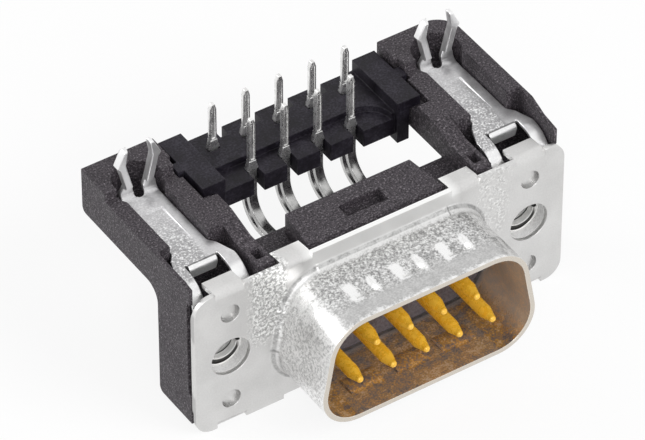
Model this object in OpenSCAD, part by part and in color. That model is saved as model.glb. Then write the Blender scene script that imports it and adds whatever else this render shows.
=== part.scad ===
// Right-angle board connector with a drawn keystone collar and nine pins.
// X runs along the flange, Y runs back from its front face, Z points to the circuit board.

/* [Flange] */
// Width of the flange
flange_w = 30.81; // [30:0.01:33]
// Height of the flange
flange_h = 12.5; // [12:0.05:14]
// Radius of the flange's corners
flange_r = 1.4; // [0.6:0.1:2]
// Thickness of the drawn front sheet
sheet_t = 0.4; // [0.3:0.05:0.5]
// Distance of each screw hole from the flange's end
hole_edge = 2.91; // [2.8:0.01:3.2]
// Diameter of the screw holes in the sheets
hole_d = 3.15; // [2.95:0.05:3.4]
// Height of the locating bosses above and below each screw hole
boss_z = 4; // [3.4:0.1:4.4]
// Diameter of the locating bosses
boss_d = 1.5; // [1:0.1:1.8]
// Depth to which the locating bosses are pushed through
boss_push = 0.22; // [0.1:0.02:0.28]

/* [Collar] */
// Inside width of the collar at its wide side
collar_w = 16.92; // [16:0.02:17.4]
// Inside height of the collar
collar_h = 8.36; // [7.8:0.02:8.8]
// Inside radius of the collar's corners
collar_r = 2.6; // [1.8:0.1:3]
// Lean of the collar's two ends, in degrees
collar_lean = 10; // [5:1:15]
// Reach of the collar ahead of the flange
collar_reach = 6; // [5:0.1:7]
// Radius at which the collar is drawn out of the flange
root_r = 0.7; // [0.3:0.1:1]
// Number of contact dents along each long side
dent_count = 3; // [1:1:4]
// Distance from dent to dent
dent_pitch = 3.85; // [2.5:0.05:4]
// Width of a dent along the collar
dent_w = 1.9; // [1:0.1:2.2]
// Radius of the round former that presses a dent
dent_former_r = 1.4; // [0.8:0.1:2]
// Depth of a dent
dent_depth = 0.24; // [0.1:0.02:0.3]
// Distance of the dents ahead of the flange
dent_reach = 3.3; // [2.8:0.1:3.8]

/* [Folded tabs] */
// Width of a folded tab
tab_w = 2.4; // [1.8:0.1:2.6]
// Offset of the inner tabs from the middle
tab_inner_x = 7; // [6.9:0.05:7.1]
// Straight length of a tab behind its bend
tab_len = 1.1; // [0.8:0.1:1.3]
// Outside radius of a tab's bend
tab_bend_r = 0.6; // [0.55:0.05:0.8]
// Angle by which a tab is folded past square
tab_over = 8; // [0:1:12]

/* [Rear plate] */
// Thickness of the rear plate
plate_t = 0.4; // [0.3:0.05:0.5]
// Setback of the rear plate from the flange's ends
plate_end_set = 0.15; // [0.05:0.05:0.5]
// Setback of the rear plate from the flange's long edges
plate_edge_set = 0.65; // [0.6:0.05:0.8]

/* [Contacts] */
// Diameter of a mating pin
pin_d = 1.02; // [0.9:0.01:1.1]
// Distance from pin to pin along a row
pin_pitch = 2.77; // [2.6:0.01:2.85]
// Distance from row to row
row_gap = 2.84; // [2.6:0.01:3]
// Number of pins in the wide row
wide_count = 5; // [5]
// Reach of the pin tips ahead of the flange
pin_reach = 5.75; // [4.8:0.05:6]
// Length of a pin's taper
pin_taper = 1.1; // [0.8:0.1:1.5]
// Diameter of a pin's rounded nose
pin_nose_d = 0.56; // [0.4:0.02:0.7]
// Diameter of the shoulder that stops a contact in the insulator
shoulder_d = 1.5; // [1.3:0.1:1.7]
// Length of that shoulder
shoulder_len = 0.8; // [0.5:0.1:1.2]
// Width of the bent stem
stem_w = 0.7; // [0.55:0.05:0.75]
// Thickness of the bent stem
stem_t = 0.42; // [0.3:0.02:0.5]
// Radius of the stem's bend at its middle
stem_bend_r = 2; // [1.2:0.1:2.2]
// Width of a solder tail
tail_w = 0.54; // [0.4:0.02:0.6]
// Thickness of a solder tail
tail_t = 0.36; // [0.28:0.02:0.4]
// Distance of the front row of tails behind the flange
tail_y = 10.25; // [9.8:0.05:10.6]
// Height of the tail tips above the axis
tail_tip_z = 10.25; // [9.5:0.05:11]
// Length of a tail's pointed tip
tail_point = 0.5; // [0.3:0.1:0.8]
// Width over a tail's two feet
foot_w = 0.92; // [0.86:0.02:1.2]
// Height of a tail's feet
foot_h = 0.8; // [0.3:0.05:0.9]
// Height of the feet's upright sides
foot_side_h = 0.12; // [0.1:0.02:0.28]
// Width of a tail's blunt end
tail_end_w = 0.27; // [0.2:0.01:0.38]

/* [Insulators] */
// Clearance between moulded and metal pieces
fit = 0.04; // [0.02:0.01:0.08]
// Width of the rim that holds the front insulator behind the sheet
rim_w = 0.8; // [0.5:0.1:1]
// Setback of the rear insulator from the collar's inside
core_set = 0.55; // [0.3:0.05:0.8]
// Setback of the contact wells' chamfer at the rear insulator's back
well_lip = 0.35; // [0.2:0.05:0.5]

/* [Bracket] */
// Setback of the bracket's sides from the flange's ends
side_set = 0.12; // [0.1:0.02:0.4]
// Height of the board seat above the axis
seat_z = 7.7; // [7.5:0.05:8]
// Reach of the arms behind the flange
arm_reach = 14.8; // [14.4:0.05:16]
// Height of an arm
arm_h = 3.9; // [3.4:0.1:4.2]
// Inner face of the arms from the middle
arm_in_x = 8.35; // [8.25:0.05:8.5]
// Drop of the low rail below the board seat
rail_drop = 0.7; // [0.2:0.05:0.8]
// Length of the raised block at an arm's end
seat_len = 3.2; // [2.9:0.1:3.6]
// Rear face of the legs and the crossbar
leg_y = 5; // [4.7:0.1:5.2]
// Clearance between the folded tabs and the legs' feet
leg_gap = 0.05; // [0.02:0.01:0.3]
// Height of the strip between the window and each strap's wide part
strip_z = 6.35; // [6.2:0.05:6.6]
// Front end of the slope that rises from that strip to the rails
strip_y = 3.8; // [3.4:0.1:4.2]
// Angle of that slope, in degrees
slope_lean = 15; // [12:1:25]
// Clearance between that wide part and the pocket's outer wall
pocket_room = 0.1; // [0.05:0.01:0.12]
// Gap between that wide part and the strip
strip_gap = 0.4; // [0.2:0.05:0.6]
// Top of the slot that takes each strap's leg
slot_z = 5.45; // [5.2:0.05:5.6]
// Rear end of the outer walls' sloping nose
nose_y = 3.85; // [3.4:0.05:4.2]
// Length of that slope
nose_l = 1.5; // [1.2:0.1:2]
// Drop of the outer walls at the slope's foot
nose_drop = 0.6; // [0.4:0.05:0.75]
// Drop of the outer walls at the flange
nose_tip_drop = 0.85; // [0.8:0.05:1]
// Width of the small blind pocket in each strip
blind_w = 0.7; // [0.5:0.05:0.9]
// Length of the blind pocket from front to back
blind_l = 1; // [0.8:0.05:1.2]
// Depth of the blind pocket
blind_d = 0.8; // [0.4:0.1:1]
// Distance of the blind pocket behind the flange
blind_y = 2; // [1.8:0.1:2.4]
// Width of the rebate under each arm's inner edge
rebate_w = 1; // [0.6:0.1:1.1]
// Radius under the arm where it meets the leg
arm_fillet = 1.3; // [0.6:0.1:2]
// Radius of the bracket's outer edges
edge_r = 0.5; // [0.2:0.1:0.8]
// Radius of the one rounded arm end
end_r = 1.9; // [1:0.1:2.5]
// Height of the crossbar's top above the axis
bar_z = 4.5; // [4.3:0.02:4.7]
// Depth of the crossbar's lower edge below the axis
bar_low = 4.7; // [4.5:0.1:5.2]
// Height of the arms' inner underside above the axis
arm_in_low_z = 4.5; // [4:0.1:4.8]
// Width of the raised middle of the crossbar at the flange
hump_w = 11.3; // [9:0.1:11.4]
// Width of the raised middle at its rear face
hump_back_w = 10.4; // [8:0.1:11]
// Height of the raised middle above the axis
hump_z = 6.28; // [5.8:0.02:6.4]
// Rear face of the raised middle
hump_y = 4.4; // [3.8:0.1:4.6]
// Width of the recess in the raised middle
recess_w = 3.4; // [2:0.1:5]
// Length of the recess from front to back
recess_l = 1.25; // [0.8:0.05:1.6]
// Depth of the recess
recess_d = 0.8; // [0.4:0.1:1.2]
// Offset of the recess ahead of the raised middle's own middle
recess_front = 0.15; // [0:0.05:0.3]
// Diameter of the relief hole under each fork
relief_d = 3.7; // [3.2:0.1:3.8]
// Depth of the relief hole below the board seat
relief_depth = 2.7; // [2:0.1:3]

/* [Pin organiser] */
// Clearance between the organiser and the arms
slip = 0.08; // [0.04:0.01:0.12]
// Height of the organiser's rear level above the axis
comb_z = 6.2; // [6:0.05:6.3]
// Drop from the rear level to the front level
comb_step = 0.55; // [0.4:0.05:0.7]
// Underside of the organiser above the axis
comb_low_z = 4.15; // [4:0.05:4.3]
// Reach of the teeth ahead of the front row of tails
tooth_reach = 1.05; // [0.9:0.05:1.1]
// Length of the organiser behind the rear row of tails
comb_back = 1.55; // [1.2:0.05:1.6]
// Distance from the front row of tails back to the step
step_back = 0.85; // [0.7:0.05:1]
// Reach of the low front level to the right of the middle, up to its round end
level_right = 5; // [4.8:0.1:5.2]
// Height of the ears' top above the axis
ear_z = 7.18; // [7:0.02:7.3]
// Inner face of the ears from the middle
ear_in_x = 7.18; // [6.9:0.02:7.4]
// Outer face of the ears from the middle
ear_out_x = 9.1; // [9:0.02:9.2]
// Thickness of the ears
ear_t = 0.84; // [0.7:0.02:0.9]
// Front end of the key on each ear's outer face
ear_key_y = 11.2; // [10.8:0.1:11.6]
// Length of that key
ear_key_l = 1; // [0.8:0.1:1.4]
// Wall between that key's notch and the strap's channel
key_wall = 1.3; // [1.2:0.05:1.5]
// Gap in front of and behind the key
ear_key_gap = 0.3; // [0.1:0.05:0.4]
// Gap between the ears' outer faces and the walls of their seats
ear_gap = 0.3; // [0.1:0.05:0.4]
// Gap in front of the ears in their seats
ear_lead = 0.7; // [0.1:0.05:0.8]
// Overhang of the ears ahead of the teeth
ear_front = 0.4; // [0.3:0.05:0.5]
// Width of the relief notches in the rear edge
notch_w = 0.65; // [0.5:0.05:0.8]
// Depth of the relief notches
notch_l = 0.95; // [0.6:0.05:1]
// Width of the foot at each end of the organiser
end_foot_w = 1; // [0.8:0.05:1.05]
// Length of an end foot from front to back
end_foot_l = 1; // [0.7:0.1:1.2]
// Length by which the end feet hang below the organiser
end_foot_drop = 0.6; // [0.4:0.1:1]

/* [Board locks] */
// Thickness of the strap sheet
strap_t = 0.32; // [0.25:0.01:0.36]
// Width of the strap's narrow part
strap_w = 2.9; // [2.6:0.1:3]
// Clearance on each side of that part in its channel
strap_room = 0.07; // [0.04:0.01:0.1]
// Width of the strap's wide front part
strap_wide_w = 4.8; // [4.4:0.1:4.9]
// Start of the strap's flare behind the flange
flare_y = 5.2; // [5:0.1:5.4]
// Length of the flare's steep part
flare_l = 0.55; // [0.4:0.05:0.8]
// Width of the strap in front of that part
flare_w = 3.75; // [3.4:0.05:4.2]
// Width of the window round the flange's outer tab
window_w = 2.7; // [2.6:0.1:3.6]
// Front face of the lip at the window's rear edge
window_y = 3.3; // [3.2:0.1:3.8]
// Outside radius of the lip's bend
lip_r = 0.45; // [0.4:0.05:0.6]
// Width of the lip at its bend
lip_w = 2.3; // [2.1:0.1:3]
// Width of the lip at its lower edge
lip_low_w = 2; // [1.5:0.1:2.2]
// Depth of the lip below the strap's top
lip_l = 1; // [0.8:0.05:1.1]
// Outside radius of the strap's front bend
strap_bend_r = 2.4; // [2:0.1:2.6]
// Depth of the strap's top below the board seat
strap_sink = 1.45; // [1.2:0.05:1.6]
// Lower end of the strap's leg below the axis
strap_low = 2.9; // [2.5:0.1:3.5]
// Rear end of the lanced tongue that is pressed down in the strap
lance_y = 9.75; // [9.2:0.05:10.2]
// Length of the lanced tongue
lance_l = 4.3; // [1.2:0.1:4.4]
// Side of the lanced tongue from the strap's middle
lance_x = 0.65; // [0.4:0.05:0.9]
// Depth to which the tongue is pressed
lance_d = 0.13; // [0.06:0.01:0.2]
// Rear face of the fork behind the flange
fork_y = 12.1; // [11.8:0.05:12.3]
// Outside radius of the fork's upward bend
fork_bend_r = 0.95; // [0.8:0.05:1.1]
// Width of the slot between the fork's legs
fork_slot_w = 0.8; // [0.6:0.05:1]
// Front end of that slot behind the flange
fork_slot_y = 11.35; // [11.2:0.05:11.5]
// Width of a fork leg
fork_leg_w = 0.56; // [0.5:0.02:0.62]
// Offset of a leg's middle at its waist
fork_waist_x = 0.86; // [0.8:0.02:0.94]
// Height of the waist above the axis
fork_waist_z = 7.45; // [7.3:0.05:7.6]
// Offset of a leg's middle at its kink
fork_kink_x = 1.36; // [1.2:0.02:1.5]
// Height of the kink above the axis
fork_kink_z = 9.5; // [9:0.1:9.8]
// Height of the barb's sloping underside
fork_barb_h = 0.3; // [0.2:0.05:0.5]
// Reach of the barb beyond the leg
fork_barb = 0.16; // [0.1:0.02:0.3]
// Offset of a leg's middle at its tip
fork_tip_x = 1; // [0.8:0.05:1.2]
// Width of a leg's tip
fork_tip_w = 0.28; // [0.2:0.02:0.4]
// Height of the fork's tips above the axis
fork_tip_z = 10.85; // [10.4:0.05:11.4]
// Lower end of the hem that doubles each leg
fork_hem_z = 7.3; // [7.2:0.05:7.8]

/* [Threaded inserts] */
// Thread diameter of the inserts
thread_d = 2.84; // [2.5:0.01:3]
// Outside diameter of the inserts
insert_d = 4.5; // [4:0.1:5]
// Setback of the inserts from the legs' rear face
insert_set = 0.2; // [0:0.05:0.5]

/* [Hidden] */
$fn = 48;

// Overlap that makes a cut run clean through a face
cut = 0.5;
// Step by which straight sides stand out from the round corners that they run into
proud = 0.01;
// Share of the root's radius at which its centre stands, so that the arc cuts the wall and does not graze it
root_lead = 0.98;
// Planes shared by the stacked pieces
plate_y = sheet_t + plate_t;
hole_x = flange_w / 2 - hole_edge;
side_x = flange_w / 2 - side_set;
tab_in_r = tab_bend_r - sheet_t;
tab_end_z = flange_h / 2 - tab_bend_r + tab_in_r * cos(tab_over) - tab_len * sin(tab_over);
foot_z = leg_gap - tab_end_z;
arm_low_z = seat_z - arm_h;
rail_z = seat_z - rail_drop;
strap_z = seat_z - strap_sink;
floor_z = strap_z - strap_t;
strap_back_y = plate_y + strap_t;
// Centres of the collar's corner arcs
corner_low_x = collar_w / 2 - collar_r;
corner_z = collar_h / 2 - collar_r;
corner_top_x = corner_low_x - 2 * corner_z * tan(collar_lean);
// Rows of contacts: the wide row lies low and its tails stand at the back
narrow_count = wide_count - 1;
row_z = row_gap / 2;
back_tail_y = tail_y + row_gap;
// Planes of the organiser
comb_front_y = tail_y - tooth_reach;
comb_back_y = back_tail_y + comb_back;
step_y = tail_y + step_back;
front_level_z = comb_z - comb_step;
ear_low_z = ear_z - ear_t;
bar_x = arm_in_x - slip;
// Room round the straps
channel_x = strap_w / 2 + strap_room;
ear_key_x = hole_x - channel_x - key_wall - slip;
pocket_in_x = hole_x - strap_wide_w / 2 - strip_gap;
pocket_out_x = hole_x + strap_wide_w / 2 + pocket_room;
// Centres of the strap's two bends
bend_y = plate_y + strap_bend_r;
bend_z = strap_z - strap_bend_r;
fork_bend_y = fork_y - fork_bend_r;
fork_base_z = floor_z + fork_bend_r;

plastic_colour = [0.22, 0.21, 0.23];
dark_colour = [0.16, 0.15, 0.18];
tin_colour = [0.75, 0.75, 0.74];
gold_colour = [0.85, 0.62, 0.16];

// Solids from flat outlines

// Box given by its low and high corners
module block(low, high) {
  translate(low) cube(high - low);
}

// Outline in the (Y, Z) plane, run along X
module along_x(from_x, to_x) {
  translate([from_x, 0, 0]) rotate([90, 0, 90]) linear_extrude(to_x - from_x) children();
}

// Outline in the (X, Z) plane, run along Y
module along_y(from_y, to_y) {
  translate([0, to_y, 0]) rotate([90, 0, 0]) linear_extrude(to_y - from_y) children();
}

// Outline in the (X, Y) plane, run along Z
module along_z(from_z, to_z) {
  translate([0, 0, from_z]) linear_extrude(to_z - from_z) children();
}

// Round bar along Y
module bar_y(x, z, from_y, to_y, d) {
  translate([x, from_y, z]) rotate([-90, 0, 0]) cylinder(h = to_y - from_y, d = d);
}

module rounded_rect(w, h, r) {
  square([w - 2 * r, h], center = true);
  square([w, h - 2 * r], center = true);
  for (sx = [-1, 1], sz = [-1, 1])
    translate([sx * (w / 2 - r), sz * (h / 2 - r)]) circle(r);
}

// What a rounding takes off a corner that points to -x and -y
module corner_waste(r) {
  difference() {
    translate([-cut, -cut]) square(r + cut);
    translate([r, r]) circle(r);
  }
}

// Ring sector from start to start plus 90 degrees
module quarter_ring(r_out, r_in, start) {
  rotate(start) intersection() {
    difference() {
      circle(r_out);
      circle(r_in);
    }
    square(r_out + cut);
  }
}

// Keystone collar

// Corner arcs in order: centre x, centre z, first angle, sweep
corner_arcs = [
  [corner_low_x, -corner_z, -90, 90 + collar_lean],
  [corner_top_x, corner_z, collar_lean, 90 - collar_lean],
  [-corner_top_x, corner_z, 90, 90 - collar_lean],
  [-corner_low_x, -corner_z, 180 - collar_lean, 90 + collar_lean]
];

// Keystone area, grown outwards from the collar's inside; its sides stand a hair proud of its corners
module keystone(grow) {
  r = collar_r + grow;
  side_r = r + proud;
  polygon([for (a = corner_arcs, t = [a[2], a[2] + a[3]]) [a[0] + side_r * cos(t), a[1] + side_r * sin(t)]]);
  for (a = corner_arcs) translate([a[0], a[1]]) circle(r);
}

// Section of the drawn root; it starts inside the wall and the sheet so that all of them join
module root_section(out) {
  lead = root_lead * root_r;
  translate([collar_r + sheet_t + out, 0]) difference() {
    translate([-sheet_t / 2, -sheet_t / 2]) square(sheet_t / 2 + root_r);
    translate([lead, lead]) circle(root_r);
  }
}

// Drawn root: turned round each corner and run along each side, the runs a hair proud of the corners
module collar_root() {
  rotate([90, 0, 0])
    for (i = [0 : 3]) {
      a = corner_arcs[i];
      b = corner_arcs[(i + 1) % 4];
      run = norm([b[0] - a[0], b[1] - a[1]]);
      translate([a[0], a[1], 0]) {
        rotate(a[2]) rotate_extrude(angle = a[3]) root_section(0);
        rotate(a[2] + a[3]) translate([0, run + 2 * proud, 0]) rotate([90, 0, 0])
          linear_extrude(run + 4 * proud) root_section(proud);
      }
    }
}

// Places of the dents on the upper and lower walls: x and side
dent_places = [for (i = [0 : dent_count - 1], s = [-1, 1]) [(i - (dent_count - 1) / 2) * dent_pitch, s]];

module dent_bar(place, r, w) {
  z = place[1] * (collar_h / 2 + sheet_t + dent_former_r - dent_depth);
  translate([place[0] - w / 2, -dent_reach, z]) rotate([0, 90, 0]) cylinder(h = w, r = r);
}

// Sheet pushed into the collar behind a dent
module dent_bulge(place) {
  half = dent_w / 2 + sheet_t;
  low = min(place[1] * (collar_h / 2 - dent_depth), place[1] * (collar_h / 2 + sheet_t / 2));
  intersection() {
    dent_bar(place, dent_former_r + sheet_t, 2 * half);
    translate([place[0] - half, -dent_reach - dent_former_r, low])
      cube([2 * half, 2 * dent_former_r, dent_depth + sheet_t / 2]);
  }
}

// Places of the folded tabs along the flange: x and side
tab_places = [for (x = [-hole_x, -tab_inner_x, tab_inner_x, hole_x], s = [-1, 1]) [x, s]];

module tab_outline() {
  translate([tab_bend_r, flange_h / 2 - tab_bend_r]) {
    quarter_ring(tab_bend_r, tab_in_r, 90);
    quarter_ring(tab_bend_r, tab_in_r, 90 - tab_over);
    rotate(-tab_over) translate([0, tab_in_r]) square([tab_len, sheet_t]);
  }
}

module flange_outline() {
  difference() {
    rounded_rect(flange_w, flange_h, flange_r);
    for (p = tab_places)
      translate([p[0] - tab_w / 2, p[1] > 0 ? flange_h / 2 - tab_bend_r : -flange_h / 2 - cut])
        square([tab_w, tab_bend_r + cut]);
  }
}

module screw_holes() {
  for (s = [-1, 1]) translate([s * hole_x, 0]) circle(d = hole_d);
}

module boss_places() {
  for (sx = [-1, 1], sz = [-1, 1]) translate([sx * hole_x, sz * boss_z]) children();
}

module front_shell() {
  color(tin_colour) difference() {
    union() {
      along_y(0, sheet_t) difference() {
        flange_outline();
        keystone(0);
      }
      along_y(-collar_reach, sheet_t / 2) difference() {
        keystone(sheet_t);
        keystone(0);
      }
      collar_root();
      for (p = dent_places) dent_bulge(p);
      for (p = tab_places)
        mirror([0, 0, p[1] > 0 ? 0 : 1]) along_x(p[0] - tab_w / 2, p[0] + tab_w / 2) tab_outline();
      along_y(sheet_t / 2, sheet_t + boss_push) boss_places() circle(d = boss_d);
    }
    for (p = dent_places) dent_bar(p, dent_former_r, dent_w);
    along_y(-cut, boss_push) boss_places() circle(d = boss_d);
    along_y(-cut, sheet_t + cut) screw_holes();
  }
}

module rear_plate() {
  color(tin_colour) along_y(sheet_t, plate_y) difference() {
    rounded_rect(flange_w - 2 * plate_end_set, flange_h - 2 * plate_edge_set, flange_r);
    keystone(rim_w + fit);
    screw_holes();
    boss_places() circle(d = boss_d + 2 * fit);
  }
}

// Contacts

// Place of a contact: x, z and the y of its tail
function contact_place(i) = i <= wide_count
  ? [(i - (wide_count + 1) / 2) * pin_pitch, -row_z, back_tail_y]
  : [(i - wide_count - (narrow_count + 1) / 2) * pin_pitch, row_z, tail_y];
contact_count = wide_count + narrow_count;

module pin_outline() {
  body = pin_reach + plate_y - pin_taper;
  nose_r = pin_nose_d / 2;
  tip_y = body + pin_taper - nose_r;
  square([pin_d / 2, body]);
  polygon([[0, body], [pin_d / 2, body], [nose_r, tip_y], [0, tip_y]]);
  translate([0, tip_y]) intersection() {
    circle(nose_r);
    square(nose_r);
  }
}

// Stem behind the insulator, bent up towards the board
module stem_outline(z, y, top_z) {
  turn_y = y - stem_bend_r;
  turn_z = z + stem_bend_r;
  translate([plate_y + shoulder_len, z - stem_t / 2]) square([turn_y - plate_y - shoulder_len, stem_t]);
  translate([turn_y, turn_z]) quarter_ring(stem_bend_r + stem_t / 2, stem_bend_r - stem_t / 2, -90);
  translate([y - stem_t / 2, turn_z]) square([stem_t, top_z - turn_z]);
}

// Feet that stop a tail on the organiser, seen from the front
module foot_outline() {
  polygon([
    [-foot_w / 2, 0], [foot_w / 2, 0], [foot_w / 2, foot_side_h], [tail_w / 2, foot_h],
    [-tail_w / 2, foot_h], [-foot_w / 2, foot_side_h]
  ]);
}

module tail_outline(len) {
  polygon([
    [-tail_w / 2, 0], [tail_w / 2, 0], [tail_w / 2, len - tail_point], [tail_end_w / 2, len],
    [-tail_end_w / 2, len], [-tail_w / 2, len - tail_point]
  ]);
}

module contact(i) {
  p = contact_place(i);
  rest_z = i <= wide_count ? comb_z : front_level_z;
  color(gold_colour) {
    translate([p[0], plate_y, p[1]]) rotate([90, 0, 0]) rotate_extrude() pin_outline();
    bar_y(p[0], p[1], plate_y, plate_y + shoulder_len, shoulder_d);
    along_x(p[0] - stem_w / 2, p[0] + stem_w / 2) stem_outline(p[1], p[2], rest_z);
    translate([p[0], p[2], rest_z]) {
      along_y(-stem_t / 2, stem_t / 2) foot_outline();
      along_y(-tail_t / 2, tail_t / 2) tail_outline(tail_tip_z - rest_z);
    }
  }
}

// Insulators

module pin_bores(d, from_y, to_y) {
  for (i = [1 : contact_count]) bar_y(contact_place(i)[0], contact_place(i)[1], from_y, to_y, d);
}

module front_insulator() {
  color(dark_colour) difference() {
    union() {
      along_y(0, sheet_t) keystone(-fit);
      along_y(sheet_t, plate_y) keystone(rim_w);
    }
    pin_bores(pin_d + 2 * fit, -cut, plate_y + cut);
  }
}

module rear_insulator() {
  color(dark_colour) difference() {
    along_y(plate_y, leg_y) keystone(-core_set);
    pin_bores(shoulder_d + 2 * fit, plate_y - cut, plate_y + shoulder_len);
    pin_bores(pin_d + 2 * fit, plate_y, leg_y + cut);
    pin_bores(pin_d + 2 * well_lip, leg_y - well_lip, leg_y + cut);
  }
}

// Bracket

// One arm with its leg, seen from the side
module arm_outline(front_z) {
  difference() {
    union() {
      translate([plate_y, foot_z]) square([leg_y - plate_y, front_z - foot_z]);
      translate([plate_y, arm_low_z]) square([arm_reach - plate_y, front_z - arm_low_z]);
      translate([leg_y, arm_low_z - arm_fillet]) difference() {
        square(arm_fillet);
        translate([arm_fillet, 0]) circle(arm_fillet);
      }
    }
    translate([arm_reach, arm_low_z]) rotate(90) corner_waste(edge_r);
    translate([leg_y, foot_z]) rotate(90) corner_waste(edge_r);
  }
}

// Taken off an arm's top between the window and the pocket: a level strip, then a slope
module strip_waste() {
  end_y = strip_y + (seat_z - strip_z) / tan(slope_lean);
  polygon([
    [-cut, seat_z + cut], [-cut, strip_z], [strip_y, strip_z], [end_y, seat_z], [end_y, seat_z + cut]
  ]);
}

// Taken off the top of an arm's outer wall near the flange
module nose_waste() {
  polygon([
    [-cut, seat_z + cut], [-cut, seat_z - nose_tip_drop], [plate_y, seat_z - nose_tip_drop],
    [nose_y - nose_l, seat_z - nose_drop], [nose_y, seat_z], [nose_y, seat_z + cut]
  ]);
}

module crossbar() {
  half = arm_in_x + cut;
  block([-half, plate_y, -bar_low], [half, leg_y, bar_z]);
  difference() {
    along_z(bar_z - cut, hump_z) polygon([
      [-hump_w / 2, plate_y], [hump_w / 2, plate_y], [hump_back_w / 2, hump_y], [-hump_back_w / 2, hump_y]
    ]);
    translate([0, (plate_y + hump_y) / 2 - recess_front, hump_z])
      cube([recess_w, recess_l, 2 * recess_d], center = true);
  }
}

// Box whose x values are given for the right arm
module side_block(side, low, high) {
  mirror([side > 0 ? 0 : 1, 0, 0]) block(low, high);
}

// Hollows on top of one arm; side is -1 for the left arm and 1 for the right one
module arm_hollows(side) {
  rail_end_y = arm_reach - seat_len;
  // low rails: the inner one of each arm and the left arm's outer one
  side_block(side, [arm_in_x - cut, -cut, rail_z], [hole_x - channel_x, rail_end_y, seat_z + cut]);
  if (side < 0)
    side_block(side, [hole_x + channel_x, -cut, rail_z], [side_x + cut, rail_end_y, seat_z + cut]);
  mirror([side > 0 ? 0 : 1, 0, 0]) {
    along_x(arm_in_x - cut, pocket_in_x) strip_waste();
    along_x(hole_x, side_x + cut) nose_waste();
  }
  // channel of the strap and the relief under its fork
  side_block(side, [hole_x - channel_x, flare_y - cut, floor_z], [hole_x + channel_x, fork_y, seat_z + cut]);
  translate([side * hole_x, fork_y - strap_t, seat_z - relief_depth])
    cylinder(h = relief_depth + cut, d = relief_d);
  // seat of the organiser's ear and of the key on it
  side_block(side, [arm_in_x - cut, comb_front_y - ear_front - ear_lead, ear_low_z],
    [ear_out_x + ear_gap, arm_reach + cut, seat_z + cut]);
  side_block(side, [arm_in_x - cut, ear_key_y - ear_key_gap, ear_low_z],
    [ear_key_x + slip, ear_key_y + ear_key_l + ear_key_gap, seat_z + cut]);
  // small blind pocket in the strip
  translate([side * (arm_in_x + pocket_in_x) / 2, blind_y, strip_z])
    cube([blind_w, blind_l, 2 * blind_d], center = true);
  // rebate under the arm's inner edge
  side_block(side, [arm_in_x - cut, leg_y, arm_low_z - cut],
    [arm_in_x + rebate_w, arm_reach + cut, arm_in_low_z]);
}

// Room behind one end of the flange for the strap, the flange's outer tab and the threaded insert
module end_hollows(side) {
  side_block(side, [pocket_in_x, -cut, bend_z - fit], [pocket_out_x, flare_y, seat_z + cut]);
  // slot of the strap's leg, open to the side
  side_block(side, [pocket_in_x, -cut, -strap_low - fit], [side_x + cut, strap_back_y + fit, slot_z]);
  bar_y(side * hole_x, 0, -cut, leg_y + cut, insert_d);
}

module arm(side) {
  in_x = side * arm_in_x;
  out_x = side * side_x;
  difference() {
    along_x(min(in_x, out_x), max(in_x, out_x)) arm_outline(seat_z);
    arm_hollows(side);
    if (side > 0)
      translate([side_x, arm_reach, arm_low_z - cut]) rotate(180)
        linear_extrude(arm_h + 2 * cut) corner_waste(end_r);
  }
}

module bracket() {
  color(plastic_colour) difference() {
    union() {
      for (side = [-1, 1]) arm(side);
      crossbar();
    }
    along_y(plate_y - cut, leg_y + cut) keystone(fit - core_set);
    for (side = [-1, 1]) end_hollows(side);
  }
}

// Pin organiser

// Low front level, from the left ear to its own round right end
module front_level_outline() {
  depth = step_y - comb_front_y;
  translate([-ear_in_x, comb_front_y - cut]) square([level_right + ear_in_x, depth + cut]);
  translate([level_right, comb_front_y]) circle(depth);
}

// Upright opening through the organiser, centred on x
module comb_slot(x, w, from_y, to_y) {
  block([x - w / 2, from_y, comb_low_z - cut], [x + w / 2, to_y, comb_z + cut]);
}

// Ear with its key, its end wall and its foot
module ear(side) {
  front_y = comb_front_y - ear_front;
  side_block(side, [ear_in_x, front_y, ear_low_z], [ear_out_x, comb_back_y, ear_z]);
  side_block(side, [ear_in_x, ear_key_y, ear_low_z], [ear_key_x, ear_key_y + ear_key_l, ear_z]);
  side_block(side, [ear_in_x, comb_front_y, comb_low_z], [bar_x, comb_back_y, ear_z]);
  side_block(side, [ear_in_x, front_y, comb_low_z - end_foot_drop],
    [ear_in_x + end_foot_w, front_y + end_foot_l, ear_z]);
}

module pin_organiser() {
  hole_half = stem_t / 2 + slip;
  slot_w = stem_w + 2 * slip;
  color(dark_colour) difference() {
    union() {
      block([-bar_x, comb_front_y, comb_low_z], [bar_x, comb_back_y, comb_z]);
      for (side = [-1, 1]) ear(side);
    }
    along_z(front_level_z, ear_z + cut) front_level_outline();
    // open slots of the front tails and relief notches in the rear edge
    for (i = [wide_count + 1 : contact_count]) {
      comb_slot(contact_place(i)[0], slot_w, comb_front_y - cut, tail_y + hole_half);
      comb_slot(contact_place(i)[0], notch_w, comb_back_y - notch_l, comb_back_y + cut);
    }
    // holes of the rear tails
    for (i = [1 : wide_count])
      comb_slot(contact_place(i)[0], slot_w, back_tail_y - hole_half, back_tail_y + hole_half);
  }
}

// Board locks

// Flat of the strap, seen from above, with the rear end of its window
module strap_plan() {
  narrow = strap_w / 2;
  wide = strap_wide_w / 2;
  flare = flare_w / 2;
  difference() {
    union() {
      translate([-narrow, bend_y]) square([strap_w, fork_bend_y - bend_y]);
      polygon([
        [-wide, bend_y], [wide, bend_y], [flare, flare_y - flare_l], [narrow, flare_y], [-narrow, flare_y],
        [-flare, flare_y - flare_l]
      ]);
    }
    translate([-window_w / 2, bend_y - cut]) square([window_w, window_y + lip_r - bend_y + cut]);
  }
}

// Tongue that is cut free on two sides and pressed down, seen from the side
module lance_waste() {
  polygon([
    [lance_y - lance_l, strap_z], [lance_y, strap_z - lance_d], [lance_y, strap_z + cut],
    [lance_y - lance_l, strap_z + cut]
  ]);
}

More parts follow.
